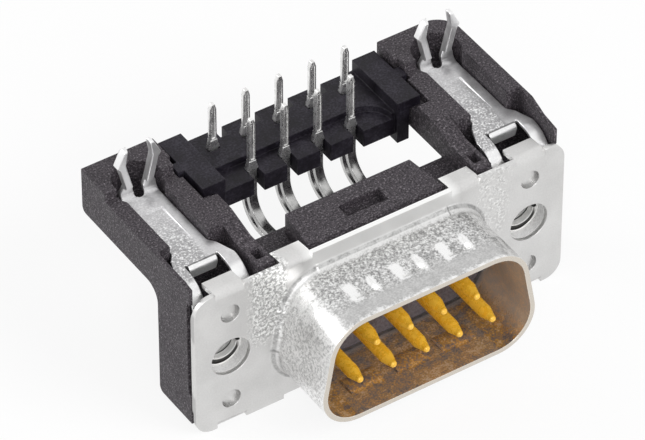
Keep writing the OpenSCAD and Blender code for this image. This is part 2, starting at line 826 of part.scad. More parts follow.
// Lip that is bent down out of the window
module window_lip() {
  along_x(-lip_w / 2, lip_w / 2) translate([window_y + lip_r, strap_z - lip_r])
    quarter_ring(lip_r, lip_r - strap_t, 90);
  along_y(window_y, window_y + strap_t) polygon([
    [-lip_w / 2, strap_z - lip_r], [lip_w / 2, strap_z - lip_r], [lip_low_w / 2, strap_z - lip_l],
    [-lip_low_w / 2, strap_z - lip_l]
  ]);
}

// Front bend beside the window and the leg behind the flange, with the screw hole
module strap_front() {
  wide = strap_wide_w / 2;
  strip = (strap_wide_w - window_w) / 2;
  for (x = [-wide, wide - strip])
    along_x(x, x + strip) translate([bend_y, bend_z]) quarter_ring(strap_bend_r, strap_bend_r - strap_t, 90);
  along_y(plate_y, strap_back_y) difference() {
    translate([-wide, -strap_low]) square([strap_wide_w, bend_z + strap_low]);
    circle(d = hole_d + 2 * fit);
  }
}

// Middle of a fork leg between its waist and its kink
function leg_x(z) = fork_waist_x
  + (fork_kink_x - fork_waist_x) * (z - fork_waist_z) / (fork_kink_z - fork_waist_z);

// Fork leg on one side, seen from the front: it leans out to a barb and in again to its tip
module fork_leg_outline(side) {
  half = fork_leg_w / 2;
  tip = fork_tip_w / 2;
  barb_z = fork_kink_z - fork_barb_h;
  mirror([side > 0 ? 0 : 1, 0]) polygon([
    [fork_slot_w / 2, fork_base_z], [strap_w / 2, fork_base_z], [fork_waist_x + half, fork_waist_z],
    [leg_x(barb_z) + half, barb_z], [fork_kink_x + half + fork_barb, fork_kink_z],
    [fork_tip_x + tip, fork_tip_z], [fork_tip_x - tip, fork_tip_z],
    [fork_kink_x - half, fork_kink_z], [fork_waist_x - half, fork_waist_z]
  ]);
}

// Fork leg with the hem that doubles it; the fold rounds its tip
module fork_leg(side) {
  mid_y = fork_y - strap_t;
  reach = strap_wide_w / 2;
  intersection() {
    union() {
      along_y(mid_y, fork_y) fork_leg_outline(side);
      along_y(mid_y - strap_t, fork_y - strap_t / 2) intersection() {
        fork_leg_outline(side);
        translate([-reach, fork_hem_z]) square([2 * reach, fork_tip_z]);
      }
    }
    along_x(-reach, reach) {
      translate([mid_y - strap_t - cut, fork_base_z - cut])
        square([2 * (strap_t + cut), fork_tip_z - strap_t - fork_base_z + cut]);
      translate([mid_y, fork_tip_z - strap_t]) circle(strap_t + proud);
    }
  }
}

// Upward bend of the fork, slotted between the legs
module fork_bend() {
  slot_y = fork_slot_y + fork_slot_w / 2;
  difference() {
    along_x(-strap_w / 2, strap_w / 2) translate([fork_bend_y, fork_base_z])
      quarter_ring(fork_bend_r, fork_bend_r - strap_t, -90);
    along_z(floor_z - cut, fork_base_z + cut) {
      translate([0, slot_y]) circle(d = fork_slot_w);
      translate([-fork_slot_w / 2, slot_y]) square([fork_slot_w, fork_y + cut - slot_y]);
    }
  }
}

module board_lock(side) {
  color(tin_colour) translate([side * hole_x, 0, 0]) {
    difference() {
      along_z(floor_z, strap_z) strap_plan();
      along_x(-strap_w, lance_x) lance_waste();
    }
    window_lip();
    strap_front();
    fork_bend();
    for (s = [-1, 1]) fork_leg(s);
  }
}

// Threaded inserts

module threaded_insert(side) {
  color(tin_colour) difference() {
    bar_y(side * hole_x, 0, strap_back_y, leg_y - insert_set, insert_d - 2 * fit);
    bar_y(side * hole_x, 0, strap_back_y - cut, leg_y + cut, thread_d);
  }
}

front_shell();
rear_plate();
front_insulator();
rear_insulator();
bracket();
pin_organiser();
board_lock(-1);  // board_lock_left
board_lock(1);  // board_lock_right
threaded_insert(-1);  // threaded_insert_left
threaded_insert(1);  // threaded_insert_right
for (i = [1 : contact_count])
  contact(i);
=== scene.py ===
import math

import bpy
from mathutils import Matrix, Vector


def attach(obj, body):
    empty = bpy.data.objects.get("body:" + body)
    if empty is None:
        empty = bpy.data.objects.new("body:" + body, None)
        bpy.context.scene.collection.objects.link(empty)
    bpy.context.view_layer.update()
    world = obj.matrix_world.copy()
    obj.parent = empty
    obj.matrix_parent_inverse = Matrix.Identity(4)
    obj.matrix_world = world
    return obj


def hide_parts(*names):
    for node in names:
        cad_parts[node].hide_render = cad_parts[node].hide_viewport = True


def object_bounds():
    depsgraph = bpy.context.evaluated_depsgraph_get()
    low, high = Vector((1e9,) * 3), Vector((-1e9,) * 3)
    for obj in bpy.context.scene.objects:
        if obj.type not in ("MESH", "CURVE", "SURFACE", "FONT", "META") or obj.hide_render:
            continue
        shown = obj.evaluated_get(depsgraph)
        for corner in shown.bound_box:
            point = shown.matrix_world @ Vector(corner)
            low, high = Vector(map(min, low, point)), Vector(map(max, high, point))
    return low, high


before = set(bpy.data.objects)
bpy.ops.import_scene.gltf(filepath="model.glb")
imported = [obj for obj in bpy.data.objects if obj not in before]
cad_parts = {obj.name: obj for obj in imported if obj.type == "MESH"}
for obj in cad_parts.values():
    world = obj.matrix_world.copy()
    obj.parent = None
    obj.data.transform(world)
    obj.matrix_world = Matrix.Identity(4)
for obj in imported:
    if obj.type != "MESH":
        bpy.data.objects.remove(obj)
cad_low, cad_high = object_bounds()

MM = 0.001
BODY = "root"
SIDES = ((-1, "left"), (1, "right"))
CONTACT_COUNT = 9

# Places on the part that the shapes and finishes follow, in millimetres
SCREW_X = 12.495
RIM_Y = -6.0
COLLAR_START_Y = -0.2
STEM_START_Y = 3.1
FOOT_TOP_Z = 6.9
TAB_SIDES = (5.8, 8.2, 11.295, 13.695)
LANCE_X = 0.65
BOSS_Z = 4.0
BOSS_R = 0.75
DENT_PITCH = 3.85
DENT_Y = -3.3
DENTS_END_X = 5.2

# Widths of the broken edges, of faces too thin to break and of gaps that are merged, in millimetres
FINE_EDGE = 0.05
MOULDED_EDGE = 0.07
ROUNDED_EDGE = 0.08
HAIR = 0.018
MERGE_DISTANCE = 0.002

# Angles in degrees: faces are one flat up to the first, sharp past the second and smooth up to the third
FLAT_ANGLE = 0.6
SHARP_ANGLE = 30
SMOOTH_ANGLE = 35

# Share of a normal along an axis past which a face lies square to it
SQUARE = 0.99

# Reach of the edges that stay sharp and start of the collar's thin steps, in millimetres
TAB_SIDE_REACH = 0.02
RIM_REACH = 0.05
FLANGE_REACH = 0.005
STEPS_START_Y = -1.0

# Locating bosses and tail grooves, in millimetres and square millimetres
BOSS_PUSH = 0.18
BOSS_RING = 0.16
BOSS_RISE = 0.1
GROOVE_BORDER = 0.13
GROOVE_DEPTH = 0.1
GROOVED_AREA = 0.6

# Screw holes and their threads, in millimetres
HOLE_R = 1.54
HOLE_WALL = 0.03
HOLE_WALL_Y = (0.36, 1.11)
HOLE_SIDES = 64
THREAD_R = 1.44
THREAD_CREST_R = 1.13
THREAD_PITCH = 0.635
THREAD_START_Y = 1.41
THREAD_FOOT = 0.58
THREAD_CREST_SHARE = 0.82
THREAD_TURNS = 4
THREAD_STEPS = 32
THREAD_MERGE = 0.001

# Pairs of places between which a mark on a piece fades in, in millimetres
DRAWN_Y = (COLLAR_START_Y, COLLAR_START_Y - 0.5)
MOTTLED_OUTER_X = (11.6, 10.2)
MOTTLED_INNER_X = (7.4, 8.2)
MOTTLED_Z = (-1.0, 1.0)
MOTTLE_HIGHLIGHT_LEFT_X = (1.0, -1.0)
HIGHLIGHT_STRIP_Z = (4.6, 4.9)
HIGHLIGHT_STRIP_END_X = (6.6, 5.7)
IRONED_Y = (DENT_Y - 0.2, DENT_Y - 1.4)
HIGHLIGHT_RIM_Y = (RIM_Y + 0.7, RIM_Y + 0.1)
HIGHLIGHT_ROOT_Y = (COLLAR_START_Y - 0.45, COLLAR_START_Y - 0.25)
DENT_LEFT_END = ((-0.05, -0.6), (-1.5, -1.1))
DENT_RIGHT_END = ((0.5, 0.8), (1.3, 1.0))
DENT_HALF_LENGTH = (1.2, 0.6)
DENT_ROW_END_X = (6.2, 5.4)
CREASE_FRONT_Y = (-0.26, -0.19)
CREASE_BACK_Y = (-0.02, -0.07)
CUT_EDGE_Y = (RIM_Y + 0.1, RIM_Y + 0.06)
INSIDE_Z = (4.24, 4.18)
FACES_AXIS = (-0.6, -1.4)
SUNK_Y = (0.03, 0.1)
SUNK_TOP_Z = (5.2, 4.95)
SUNK_FOOT_Z = (2.4, 2.8)
STRAP_PANEL_X = (LANCE_X + 0.1, LANCE_X - 0.3)
STRAP_PANEL_Y = (10.2, 6.0)
STRAP_PANEL_Z = (6.5, 6.3)
STRAP_FRONT_Y = (4.6, 4.2)
STRAP_LINE_X = (1.3, 1.2)
FORK_Z = (6.6, 7.0)
CREST_R = (THREAD_CREST_R + 0.1, THREAD_CREST_R + 0.04)
BEFORE_THREAD_Y = (1.18, 1.14)
UPRIGHT_Z = (4.0, 6.0)
TINNED_Y = (STEM_START_Y - 0.1, STEM_START_Y + 0.1)

# Size of the tin's grain, in millimetres, and plain colours of the marks, some of which are painted
# highlights and painted shade
TIN_GRAIN = 0.14
WHITE_TIN_AND_HIGHLIGHT = (1.0, 1.0, 0.99)
HIGHLIGHT_TIN = (0.92, 0.92, 0.915)
BRIGHT_TIN_AND_HIGHLIGHT = (0.95, 0.95, 0.95)
CREASE_SHADE_GREY = (0.22, 0.22, 0.218)
BOSS_SHADE_GREY = (0.2, 0.2, 0.2)
LIP_SHADE_GREY = (0.1, 0.1, 0.1)
GROOVE_SHADE_BLACK = (0.05, 0.049, 0.047)
CUT_METAL = (0.68, 0.63, 0.56)
PAINTED_LIT_BROWN = (0.86, 0.74, 0.63)
PAPER_WHITE = (0.9, 0.9, 0.9)

# Name, place, size and power of each lamp, in metres and watts, and whether metal mirrors it.
# The front right lamp would burn out the collar's root, which mirrors it twice.
SOFTBOXES = (
    ("front_right_softbox", (0.2, -0.34, 0.3), 0.25, 1.4, False),
    ("left_back_softbox", (-0.34, 0.3, 0.21), 0.12, 0.7, True),
    ("camera_side_softbox", (-0.2, -0.36, 0.3), 0.2, 0.7, True),
)

# Levels of the white surroundings, the floor's size in metres and its gap below the object in millimetres
WORLD_LIGHT = 0.5
WORLD_SHOWN = 1.0
FLOOR_SIZE = 3.0
FLOOR_GAP = 0.02
FLOOR_GLOW = 0.85

# Camera fitted to the photograph, whose frame is 645 by 440 pixels, in degrees, millimetres and pixels
AZIMUTH = -34.29
ELEVATION = 42.67
CAMERA_AWAY = 387.3
FOCAL_PX = 5559.0
FRAME_WIDTH_PX = 645.0
RIGHT_OF_MIDDLE_PX = 60.27
BELOW_MIDDLE_PX = 68.05
SENSOR_WIDTH = 36.0
CLIP_START = 10.0


# Hand tools

def clear_selection():
    bpy.ops.object.select_all(action="DESELECT")


def make_active(piece):
    clear_selection()
    piece.select_set(True)
    bpy.context.view_layer.objects.active = piece


def edit(piece):
    make_active(piece)
    bpy.ops.object.mode_set(mode="EDIT")


def leave_edit():
    bpy.ops.object.mode_set(mode="OBJECT")


def clear_mesh_selection(piece, kind):
    """Leaves the mesh with nothing selected, ready for parts of one kind to be selected."""
    edit(piece)
    bpy.ops.mesh.select_mode(type=kind)
    bpy.ops.mesh.select_all(action="DESELECT")
    leave_edit()


def select_faces(piece, wanted):
    """Selects, in edit mode, the faces that pass the test."""
    clear_mesh_selection(piece, "FACE")
    for face in piece.data.polygons:
        face.select = wanted(face)
    edit(piece)


def apply_modifier(piece, kind, **settings):
    make_active(piece)
    modifier = piece.modifiers.new(kind.title(), kind)
    for name, value in settings.items():
        setattr(modifier, name, value)
    bpy.ops.object.modifier_apply(modifier=modifier.name)


def apply_place(piece):
    """Puts the place of a new piece into its mesh, so that its object sits at the origin."""
    make_active(piece)
    bpy.ops.object.transform_apply(location=True, rotation=True, scale=True)


def shade(piece):
    make_active(piece)
    bpy.ops.object.shade_smooth_by_angle(angle=math.radians(SMOOTH_ANGLE))


def new_piece(name):
    """The primitive that was just added, under its name."""
    piece = bpy.context.active_object
    piece.name = name
    piece.data.name = name
    return piece


def node_copy(node, name):
    """Merged copy of a CAD node, ready to be worked on."""
    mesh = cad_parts[node].data.copy()
    mesh.name = name
    piece = bpy.data.objects.new(name, mesh)
    bpy.context.scene.collection.objects.link(piece)
    edit(piece)
    bpy.ops.mesh.select_all(action="SELECT")
    bpy.ops.mesh.remove_doubles(threshold=MERGE_DISTANCE * MM)
    bpy.ops.mesh.dissolve_limited(angle_limit=math.radians(FLAT_ANGLE))
    leave_edit()
    return piece


def face_width(face, mesh):
    """Mean width of a long face."""
    corners = [mesh.vertices[index].co for index in face.vertices]
    border = sum((a - b).length for a, b in zip(corners, corners[1:] + corners[:1]))
    return 2 * face.area / border


def sharp_lines(mesh, left_sharp):
    """Edges between two faces that meet at a sharp angle, apart from those of hair-thin faces."""
    faces_at = {}
    for face in mesh.polygons:
        for key in face.edge_keys:
            faces_at.setdefault(key, []).append(face)
    thin = {face.index for face in mesh.polygons if face_width(face, mesh) < HAIR * MM}
    for line in mesh.edges:
        beside = faces_at.get(line.key, [])
        if len(beside) != 2 or any(face.index in thin for face in beside):
            continue
        if left_sharp and all(left_sharp(mesh.vertices[index].co) for index in line.vertices):
            continue
        if beside[0].normal.angle(beside[1].normal, 0) > math.radians(SHARP_ANGLE):
            yield line


def break_edges(piece, width, segments=2, left_sharp=None):
    """Rounds the sharp edges, as pressing and moulding leave them."""
    clear_mesh_selection(piece, "EDGE")
    for line in list(sharp_lines(piece.data, left_sharp)):
        line.select = True
    edit(piece)
    bpy.ops.mesh.bevel(offset=width * MM, segments=segments, affect="EDGES", clamp_overlap=False,
                       miter_outer="ARC")
    leave_edit()
    shade(piece)
    apply_modifier(piece, "WEIGHTED_NORMAL", keep_sharp=True)
    return piece


def finish_piece(piece, finish, slot, *nodes):
    piece.data.materials.clear()
    piece.data.materials.append(finish)
    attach(piece, BODY)
    if nodes:
        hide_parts(*nodes)
    return piece


# Finishes

class Finish:
    """A node material, built up from patterns on the piece's own coordinates."""

    # Range that holds most of a noise pattern's values
    NOISE_RANGE = (0.3, 0.7)
    # Numbers of a Mix node's colour sockets, which share their names with its other sockets
    MIX_COLOURS = (6, 7)
    MIX_RESULT = 2

    def __init__(self, name):
        self.material = bpy.data.materials.new(name)
        self.material.use_nodes = True
        self.tree = self.material.node_tree
        self.tree.nodes.clear()
        self.output = self.tree.nodes.new("ShaderNodeOutputMaterial")
        self.shader = self.tree.nodes.new("ShaderNodeBsdfPrincipled")
        self.join(self.shader.outputs["BSDF"], self.output.inputs["Surface"])
        coordinates = self.tree.nodes.new("ShaderNodeTexCoord")
        self.place = coordinates.outputs["Object"]
        self.facing = coordinates.outputs["Normal"]

    def join(self, start, end):
        self.tree.links.new(start, end)

    def axes(self, vector):
        """The X, Y and Z of a place or a direction."""
        node = self.tree.nodes.new("ShaderNodeSeparateXYZ")
        self.join(vector, node.inputs["Vector"])
        return node.outputs["X"], node.outputs["Y"], node.outputs["Z"]

    def noise(self, size_mm, detail=3.0, rough=0.55, stretch=(1, 1, 1)):
        turned = self.tree.nodes.new("ShaderNodeMapping")
        turned.inputs["Scale"].default_value = stretch
        self.join(self.place, turned.inputs["Vector"])
        node = self.tree.nodes.new("ShaderNodeTexNoise")
        node.inputs["Scale"].default_value = 1.0 / (size_mm * MM)
        node.inputs["Detail"].default_value = detail
        node.inputs["Roughness"].default_value = rough
        self.join(turned.outputs["Vector"], node.inputs["Vector"])
        return node.outputs["Fac"]

    def ramp(self, value, *stops):
        node = self.tree.nodes.new("ShaderNodeValToRGB")
        while len(node.color_ramp.elements) < len(stops):
            node.color_ramp.elements.new(0.5)
        for element, (at, colour) in zip(node.color_ramp.elements, stops):
            element.position = at
            element.color = (*colour, 1)
        self.join(value, node.inputs["Fac"])
        return node.outputs["Color"]

    def span(self, value, low, high, out_low=0.0, out_high=1.0):
        """Goes from out_low to out_high as the value goes from low to high, and no further."""
        node = self.tree.nodes.new("ShaderNodeMapRange")
        node.inputs["From Min"].default_value = low
        node.inputs["From Max"].default_value = high
        node.inputs["To Min"].default_value = out_low
        node.inputs["To Max"].default_value = out_high
        self.join(value, node.inputs["Value"])
        return node.outputs["Result"]

    def fade(self, place, ends, out_low=0.0, out_high=1.0):
        """A span between two places in millimetres."""
        return self.span(place, ends[0] * MM, ends[1] * MM, out_low, out_high)

    def varied(self, pattern, low, high):
        """Goes from low to high with a noise pattern."""
        return self.span(pattern, *self.NOISE_RANGE, low, high)

    def between(self, mask, low, high):
        """Low where the mask is 0 and high where it is 1."""
        return self.span(mask, 0, 1, low, high)

    def mix(self, share, first, second):
        node = self.tree.nodes.new("ShaderNodeMix")
        node.data_type = "RGBA"
        self.join(share, node.inputs["Factor"])
        for value, number in zip((first, second), self.MIX_COLOURS):
            if isinstance(value, tuple):
                node.inputs[number].default_value = (*value, 1)
            else:
                self.join(value, node.inputs[number])
        return node.outputs[self.MIX_RESULT]

    def math(self, kind, first, second=0.0):
        node = self.tree.nodes.new("ShaderNodeMath")
        node.operation = kind
        for value, socket in zip((first, second), node.inputs):
            if isinstance(value, (int, float)):
                socket.default_value = value
            else:
                self.join(value, socket)
        return node.outputs[0]

    def distance(self, value):
        """The value without its sign."""
        return self.math("ABSOLUTE", value)

    def blend(self, *shares):
        """Sum of patterns, each with its share."""
        total = None
        for pattern, share in shares:
            part = self.math("MULTIPLY", pattern, share)
            total = part if total is None else self.math("ADD", total, part)
        return total

    def both(self, first, *others):
        """1 where all the masks are 1."""
        for other in others:
            first = self.math("MULTIPLY", first, other)
        return first

    def either(self, first, *others):
        """The strongest of the masks."""
        for other in others:
            first = self.math("MAXIMUM", first, other)
        return first

    def bump(self, height, depth_mm, strength):
        node = self.tree.nodes.new("ShaderNodeBump")
        node.inputs["Distance"].default_value = depth_mm * MM
        node.inputs["Strength"].default_value = strength
        self.join(height, node.inputs["Height"])
        return node.outputs["Normal"]

    def set(self, **sockets):
        for name, value in sockets.items():
            socket = self.shader.inputs[name.replace("_", " ")]
            if isinstance(value, (int, float)):
                socket.default_value = value
            elif isinstance(value, tuple):
                socket.default_value = (*value, 1)
            else:
                self.join(value, socket)
        return self.material


def bracket_plastic():
    """Glass-filled plastic: fine pale and dark flecks on brownish charcoal."""
    f = Finish("glass_filled_black_plastic")
    flecks = f.noise(0.14, detail=3.0, rough=0.75)
    cloud = f.noise(1.8, detail=2.0)
    colour = f.ramp(flecks, (0.38, (0.009, 0.007, 0.009)), (0.5, (0.042, 0.036, 0.042)),
                    (0.58, (0.07, 0.06, 0.069)), (0.68, (0.24, 0.222, 0.238)))
    return f.set(Base_Color=colour, Roughness=f.varied(cloud, 0.52, 0.66), Specular_IOR_Level=0.35,
                 Normal=f.bump(flecks, depth_mm=0.03, strength=0.7))


def dark_plastic():
    """Unfilled plastic of the comb: smoother, bluish and darker than the bracket."""
    f = Finish("satin_black_plastic")
    grain = f.noise(0.16, detail=3.0, rough=0.65)
    cloud = f.noise(1.6, detail=2.0)
    colour = f.ramp(f.blend((grain, 0.6), (cloud, 0.4)), (0.38, (0.004, 0.003, 0.005)),
                    (0.5, (0.011, 0.009, 0.014)), (0.62, (0.03, 0.027, 0.036)))
    return f.set(Base_Color=colour, Roughness=f.varied(cloud, 0.42, 0.54), Specular_IOR_Level=0.24,
                 Normal=f.bump(grain, depth_mm=0.01, strength=0.5))


def pin_block_plastic():
    """The same plastic in the pin blocks, greyer where it was moulded against a dull tool."""
    f = Finish("dull_black_plastic")
    grain = f.noise(0.2, detail=3.0, rough=0.65)
    colour = f.ramp(grain, (0.35, (0.085, 0.077, 0.088)), (0.65, (0.175, 0.16, 0.18)))
    return f.set(Base_Color=colour, Roughness=f.varied(grain, 0.5, 0.6),
                 Normal=f.bump(grain, depth_mm=0.008, strength=0.4))


class TinnedSheet(Finish):
    """Tinned sheet: satin flange, finely hammered collar with painted highlights on its edges, browned
    inside.
    """

    def __init__(self):
        super().__init__("tinned_sheet")
        self.grain = self.noise(TIN_GRAIN, detail=2.0, rough=0.6)
        self.blotch = self.noise(0.25, detail=2.0, rough=0.6)
        self.patch = self.noise(0.6, detail=3.0, rough=0.6)
        self.cloud = self.noise(2.6, detail=2.0)
        self.ragged = self.span(self.blend((self.grain, 0.35), (self.patch, 0.65)), 0.36, 0.64,
                                out_low=-0.5, out_high=0.5)
        self.x, self.y, self.z = self.axes(self.place)
        self.off_x, self.off_z = self.distance(self.x), self.distance(self.z)
        self.rightward, self.rearward, self.upward = self.axes(self.facing)
        self.drawn = self.fade(self.y, DRAWN_Y)
        self.highlight_and_polish = self.painted_highlight_places()

    def with_ragged_edge(self, mask, share, low, high):
        """The mask, with a ragged border in place of its even one."""
        return self.span(self.math("ADD", mask, self.math("MULTIPLY", self.ragged, share)), low, high)

    def dent_ends(self):
        """Both ends of each dent, which lie at an even pitch along the collar."""
        number = self.math("ROUND", self.math("DIVIDE", self.x, DENT_PITCH * MM))
        beside = self.math("SUBTRACT", self.x, self.math("MULTIPLY", number, DENT_PITCH * MM))
        left, right = (self.both(*(self.fade(beside, ends) for ends in dent_end))
                       for dent_end in (DENT_LEFT_END, DENT_RIGHT_END))
        along = self.distance(self.math("SUBTRACT", self.y, DENT_Y * MM))
        return self.both(self.math("MULTIPLY", self.either(left, right), 1.3),
                         self.fade(along, DENT_HALF_LENGTH), self.fade(self.off_x, DENT_ROW_END_X))

    def painted_highlight_places(self):
        """Where highlights are painted on the collar: its rim, upper corners, root and dents."""
        rim = self.fade(self.y, HIGHLIGHT_RIM_Y, out_high=0.75)
        corners = self.both(self.span(self.distance(self.rightward), 0.2, 0.55),
                            self.span(self.upward, 0.2, 0.6, out_high=0.75))
        root = self.both(self.fade(self.y, HIGHLIGHT_ROOT_Y, out_high=0.7), self.span(self.upward, 0.1, 0.3))
        return self.with_ragged_edge(self.either(rim, corners, self.dent_ends(), root), 0.7, 0.4, 0.95)

    def inside_places(self):
        """The collar's walls that face the mating axis."""
        flat = self.tree.nodes.new("ShaderNodeVectorMath")
        flat.operation = "MULTIPLY"
        flat.inputs[1].default_value = (1, 0, 1)
        self.join(self.place, flat.inputs[0])
        along = self.tree.nodes.new("ShaderNodeVectorMath")
        along.operation = "DOT_PRODUCT"
        self.join(self.facing, along.inputs[0])
        self.join(flat.outputs["Vector"], along.inputs[1])
        return self.both(self.drawn, self.fade(along.outputs["Value"], FACES_AXIS),
                         self.fade(self.off_z, INSIDE_Z))

    def flange_colour(self):
        """Satin, mottled where drawing the collar stretched it, the mottle stronger on the left as painted
        highlight, and a painted white highlight in a strip above the collar.
        """
        satin = self.ramp(self.blend((self.cloud, 0.6), (self.grain, 0.4)),
                          (0.34, (0.63, 0.625, 0.618)), (0.66, (0.74, 0.736, 0.728)))
        mottled = self.ramp(self.blend((self.blotch, 0.65), (self.grain, 0.35)),
                            (0.4, (0.38, 0.378, 0.375)), (0.49, (0.64, 0.637, 0.63)), (0.56, WHITE_TIN_AND_HIGHLIGHT))
        # The mottle is stretched tin; its greater strength on the left is painted highlight
        mottle_with_left_highlight = self.both(self.fade(self.off_x, MOTTLED_OUTER_X),
                                self.fade(self.off_x, MOTTLED_INNER_X), self.fade(self.z, MOTTLED_Z),
                                self.fade(self.x, MOTTLE_HIGHLIGHT_LEFT_X, out_low=0.45))
        colour = self.mix(self.with_ragged_edge(mottle_with_left_highlight, 0.6, 0.3, 0.9), satin, mottled)
        # Painted highlight: a white strip on the flange above the collar
        highlight_above_collar = self.both(self.fade(self.z, HIGHLIGHT_STRIP_Z, out_high=0.85),
                                 self.fade(self.off_x, HIGHLIGHT_STRIP_END_X))
        return self.mix(highlight_above_collar, colour, WHITE_TIN_AND_HIGHLIGHT)

    def collar_colour(self):
        """Hammered, ironed towards the rim, painted lighter on the left end and with painted highlights on
        the rim, upper corners, root and dents.
        """
        speckle = self.blend((self.blotch, 0.5), (self.grain, 0.5))
        hammered = self.ramp(speckle, (0.4, (0.28, 0.278, 0.276)), (0.5, (0.54, 0.537, 0.534)),
                             (0.6, (0.84, 0.838, 0.832)))
        ironed = self.ramp(self.blend((self.grain, 0.5), (self.patch, 0.5)),
                           (0.36, (0.47, 0.467, 0.464)), (0.64, (0.6, 0.597, 0.593)))
        left_end_painted_light = self.ramp(speckle, (0.4, (0.55, 0.547, 0.543)), (0.58, (1.0, 0.997, 0.992)))
        colour = self.mix(self.fade(self.y, IRONED_Y, out_high=0.85), hammered, ironed)
        # Painted light: faces turned to the left are painted lighter
        colour = self.mix(self.span(self.rightward, -0.4, -0.9), colour, left_end_painted_light)
        # Painted highlight: the rim, upper corners, root and dents are painted near white
        return self.mix(self.highlight_and_polish, colour, HIGHLIGHT_TIN)

    def browned_colour(self):
        """Rusty brown patches, painted lighter on the right end's inner wall as painted light."""
        browned = self.ramp(self.blend((self.cloud, 0.3), (self.patch, 0.35), (self.grain, 0.35)),
                            (0.4, (0.15, 0.125, 0.125)), (0.47, (0.27, 0.2, 0.155)),
                            (0.53, (0.52, 0.27, 0.05)), (0.6, (0.68, 0.5, 0.32)))
        return self.mix(self.span(self.rightward, -0.5, -0.9, out_high=0.6), browned, PAINTED_LIT_BROWN)

    def with_marks(self, colour):
        """Adds painted shade on the walls of the bosses and in the crease at the collar's root, and the
        rim's cut edge.
        """
        # Painted shade: the walls of the locating bosses are painted dark grey
        boss_wall_shade = self.both(self.fade(self.y, SUNK_Y, out_high=0.4), self.fade(self.off_z, SUNK_TOP_Z),
                         self.fade(self.off_z, SUNK_FOOT_Z),
                         self.span(self.distance(self.rearward), 0.9, 0.6))
        cut_edge = self.both(self.span(self.rearward, -0.15, -0.5), self.fade(self.y, CUT_EDGE_Y))
        # Painted shade: a dark grey line in the crease at the collar's root
        crease = self.both(self.fade(self.y, CREASE_BACK_Y), self.fade(self.y, CREASE_FRONT_Y),
                           self.span(self.ragged, -0.5, 0.2, 0.85, 0.4))
        colour = self.mix(boss_wall_shade, colour, BOSS_SHADE_GREY)
        colour = self.mix(cut_edge, colour, CUT_METAL)
        return self.mix(crease, colour, CREASE_SHADE_GREY)

    def finished(self):
        inside = self.inside_places()
        colour = self.mix(self.drawn, self.flange_colour(), self.collar_colour())
        colour = self.with_marks(self.mix(inside, colour, self.browned_colour()))
        # The places of painted highlight are also made a little smoother
        polish = self.math("MULTIPLY", self.both(self.highlight_and_polish, self.drawn), 0.08)
        return self.set(Base_Color=colour, Metallic=self.between(inside, 1.0, 0.45),
                        Roughness=self.math("SUBTRACT", self.between(self.drawn, 0.42, 0.34), polish),
                        Normal=self.bump(self.grain, depth_mm=0.012, strength=0.6))


def hole_tin():
    """The same sheet in the screw holes, dulled by the punch."""
    f = Finish("dulled_tinned_sheet")
    grain = f.noise(TIN_GRAIN, detail=2.0, rough=0.6)
    colour = f.ramp(grain, (0.35, (0.72, 0.716, 0.71)), (0.65, (0.86, 0.857, 0.85)))
    return f.set(Base_Color=colour, Metallic=0.15, Roughness=0.5,
                 Normal=f.bump(grain, depth_mm=0.008, strength=0.5))


def strap_tin():
    """Bright strap: satin all over, with sparkling grain on its flat beside the pressed tongue's edge,
    painted shade along the lip's crease and painted highlights on the lip and the fork.
    """
    f = Finish("bright_tinned_strap")
    grain = f.noise(TIN_GRAIN, detail=2.0, rough=0.6)
    patch = f.noise(0.8, detail=3.0, rough=0.6)
    x, y, z = f.axes(f.place)
    rearward = f.axes(f.facing)[1]
    across = f.math("SUBTRACT", x, f.math("MULTIPLY", f.math("SIGN", x), SCREW_X * MM))
    satin = f.ramp(f.blend((patch, 0.6), (grain, 0.4)),
                   (0.34, (0.54, 0.535, 0.544)), (0.66, (0.74, 0.735, 0.743)))
    sparkling = f.ramp(f.blend((grain, 0.8), (patch, 0.2)),
                       (0.38, (0.33, 0.327, 0.333)), (0.52, (0.48, 0.475, 0.483)), (0.64, BRIGHT_TIN_AND_HIGHLIGHT))
    panel = f.both(f.fade(across, STRAP_PANEL_X), f.fade(z, STRAP_PANEL_Z),
                   f.fade(y, STRAP_PANEL_Y, out_low=0.15))
    front = f.fade(y, STRAP_FRONT_Y, out_high=0.8)
    # Painted shade: a dark line where the lip turns down
    line = f.both(front, f.span(rearward, -0.08, -0.16), f.span(rearward, -0.42, -0.32),
                  f.fade(f.distance(across), STRAP_LINE_X))
    # Painted highlights: the lip's front and the upper fork are painted near white
    lip = f.both(front, f.span(rearward, -0.32, -0.45))
    fork = f.fade(z, FORK_Z, out_high=0.7)
    colour = f.mix(line, f.mix(panel, satin, sparkling), LIP_SHADE_GREY)
    colour = f.mix(f.either(lip, fork), colour, BRIGHT_TIN_AND_HIGHLIGHT)
    return f.set(Base_Color=colour, Metallic=0.85, Roughness=f.varied(patch, 0.28, 0.4),
                 Normal=f.bump(grain, depth_mm=0.01, strength=0.6))


def insert_steel():
    """Turned steel: bright on the thread's crests and the front face, with painted shade in the grooves."""
    f = Finish("turned_steel")
    rings = f.noise(0.2, detail=2.0, rough=0.5, stretch=(0.2, 1, 0.2))
    x, y, z = f.axes(f.place)
    across = f.math("SUBTRACT", f.distance(x), SCREW_X * MM)
    radius = f.math("SQRT", f.math("ADD", f.math("MULTIPLY", across, across), f.math("MULTIPLY", z, z)))
    # Painted shade: all but the crests and the front face is painted near black
    unshaded_places = f.either(f.fade(radius, CREST_R), f.fade(y, BEFORE_THREAD_Y))
    bright = f.ramp(rings, (0.3, (0.78, 0.775, 0.76)), (0.7, (0.95, 0.945, 0.93)))
    return f.set(Base_Color=f.mix(unshaded_places, GROOVE_SHADE_BLACK, bright), Metallic=0.5,
                 Roughness=f.varied(rings, 0.3, 0.45))


